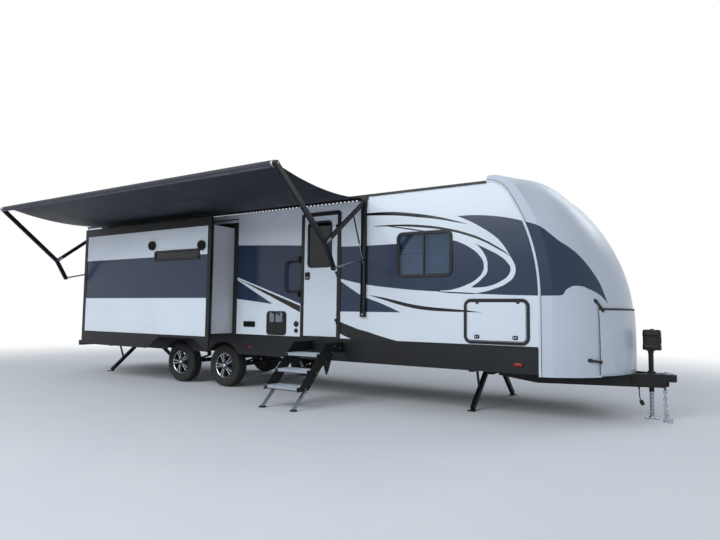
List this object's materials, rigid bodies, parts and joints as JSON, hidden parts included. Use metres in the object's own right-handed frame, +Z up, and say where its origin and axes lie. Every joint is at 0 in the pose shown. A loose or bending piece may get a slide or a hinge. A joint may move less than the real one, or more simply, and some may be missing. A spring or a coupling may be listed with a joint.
{
  "type": "travel caravan",
  "caption": "Long travel trailer with a moulded nose, slide room, side awning, fold-out stair and tandem axles, parked on its tongue jack.",
  "frame": {"origin": "on the ground under the tongue jack's foot, on the centre line", "axes": "+X to the hitch, +Y to the road side (left), +Z up"},
  "size_m": [10.903, 4.4599, 3.305],
  "materials": {
    "wall_panel": "smooth gelcoat laminate, white with charcoal bands",
    "cap_moulding": "moulded gelcoat, white",
    "roof_membrane": "matt rubber membrane",
    "board": "plywood board",
    "dark_skirt": "dark painted sheet",
    "chassis_paint": "black chassis paint",
    "axle_paint": "black axle paint",
    "black_trim": "black moulded trim",
    "white_door": "smooth white door skin",
    "dark_door": "black door skin",
    "dark_glass": "tinted safety glass",
    "blind_cloth": "pleated blinds",
    "zinc": "bright zinc plate",
    "rail_alloy": "extruded aluminium",
    "awning_fabric": "charcoal coated cloth",
    "tyre_rubber": "black tyre rubber",
    "dark_alloy": "dark painted alloy with a bright lip",
    "white_plastic": "white moulded cover",
    "bottle_paint": "white gas bottle paint",
    "red_lens": "red lamp lens",
    "cable_jacket": "black cable jacket",
    "grab_alloy": "black coated tube"
  },
  "bodies": {
    "caravan": {"right_wall": "wall_panel", "left_wall": "wall_panel", "rear_wall": "wall_panel", "front_cap": "cap_moulding", "roof_panel": "roof_membrane", "floor_slab": "board", "storage_deck": "board", "gas_locker": "board", "side_skirts": "dark_skirt", "chassis_frame": "chassis_paint", "drawbar": "chassis_paint", "coupler": "chassis_paint", "leaf_springs": "chassis_paint", "stabilisers": "chassis_paint", "entry_stair": "chassis_paint", "awning_arms": "chassis_paint", "axle_beams": "axle_paint", "window_frames": "black_trim", "lid_frames": "black_trim", "slide_seal": "black_trim", "gutter_rails": "black_trim", "entry_frame": "black_trim", "grab_brackets": "black_trim", "jack_head": "black_trim", "jack_tube": "black_trim", "wall_fittings": "black_trim", "tow_plug": "black_trim", "window_glass": "dark_glass", "window_blinds": "blind_cloth", "jack_leg": "zinc", "safety_chains": "zinc", "stair_legs": "zinc", "awning_rail": "rail_alloy", "awning_roller": "rail_alloy", "awning_cloth": "awning_fabric", "roof_kit": "white_plastic", "gas_bottles": "bottle_paint", "red_lamps": "red_lens", "tow_lead": "cable_jacket"},
    "entry_door": {"entry_leaf": "white_door", "entry_glass": "dark_glass", "entry_latch": "black_trim"},
    "slide_room": {"slide_face": "wall_panel", "slide_box": "wall_panel", "slide_trim": "black_trim", "slide_glass": "dark_glass"},
    "baggage_lid_right": {"baggage_door_right": "white_door"},
    "baggage_lid_left": {"baggage_door_left": "white_door"},
    "service_hatch": {"hatch_lid": "dark_door"},
    "gas_locker_cover": {"gas_cover": "cap_moulding"},
    "grab_rail": {"grab_handle": "grab_alloy"},
    "wheel_front_right": {"tyre_front_right": "tyre_rubber", "rim_front_right": "dark_alloy"},
    "wheel_front_left": {"tyre_front_left": "tyre_rubber", "rim_front_left": "dark_alloy"},
    "wheel_rear_right": {"tyre_rear_right": "tyre_rubber", "rim_rear_right": "dark_alloy"},
    "wheel_rear_left": {"tyre_rear_left": "tyre_rubber", "rim_rear_left": "dark_alloy"}
  },
  "joints": [
    {"name": "entry_door_hinge", "type": "hinge", "parent": "caravan", "child": "entry_door", "pos_m": [-4.0135, -1.2386, 1.82], "axis": [0, 0, 1], "range_deg": [0, 110]},
    {"name": "slide_room_travel", "type": "slide", "parent": "caravan", "child": "slide_room", "axis": [0, 1, 0], "range_m": [0, 0.48]},
    {"name": "baggage_right_hinge", "type": "hinge", "parent": "caravan", "child": "baggage_lid_right", "pos_m": [-1.6025, -1.2386, 1.4415], "axis": [-1, 0, 0], "range_deg": [0, 100]},
    {"name": "baggage_left_hinge", "type": "hinge", "parent": "caravan", "child": "baggage_lid_left", "pos_m": [-1.6025, 1.2386, 1.4415], "axis": [1, 0, 0], "range_deg": [0, 100]},
    {"name": "service_hatch_hinge", "type": "hinge", "parent": "caravan", "child": "service_hatch", "pos_m": [-5.173, -1.2386, 1.2485], "axis": [-1, 0, 0], "range_deg": [0, 100]},
    {"name": "gas_cover_lift", "type": "slide", "parent": "caravan", "child": "gas_locker_cover", "axis": [0, 0, 1], "range_m": [0, 0.6]},
    {"name": "grab_rail_hinge", "type": "hinge", "parent": "caravan", "child": "grab_rail", "pos_m": [-4.722, -1.254, 1.82], "axis": [0, 0, 1], "range_deg": [0, 95]},
    {"name": "wheel_front_right_spin", "type": "hinge", "parent": "caravan", "child": "wheel_front_right", "pos_m": [-6.338, -1.0855, 0.35], "axis": [0, 1, 0], "continuous": true},
    {"name": "wheel_front_left_spin", "type": "hinge", "parent": "caravan", "child": "wheel_front_left", "pos_m": [-6.338, 1.0855, 0.35], "axis": [0, 1, 0], "continuous": true},
    {"name": "wheel_rear_right_spin", "type": "hinge", "parent": "caravan", "child": "wheel_rear_right", "pos_m": [-7.428, -1.0855, 0.35], "axis": [0, 1, 0], "continuous": true},
    {"name": "wheel_rear_left_spin", "type": "hinge", "parent": "caravan", "child": "wheel_rear_left", "pos_m": [-7.428, 1.0855, 0.35], "axis": [0, 1, 0], "continuous": true}
  ]
}
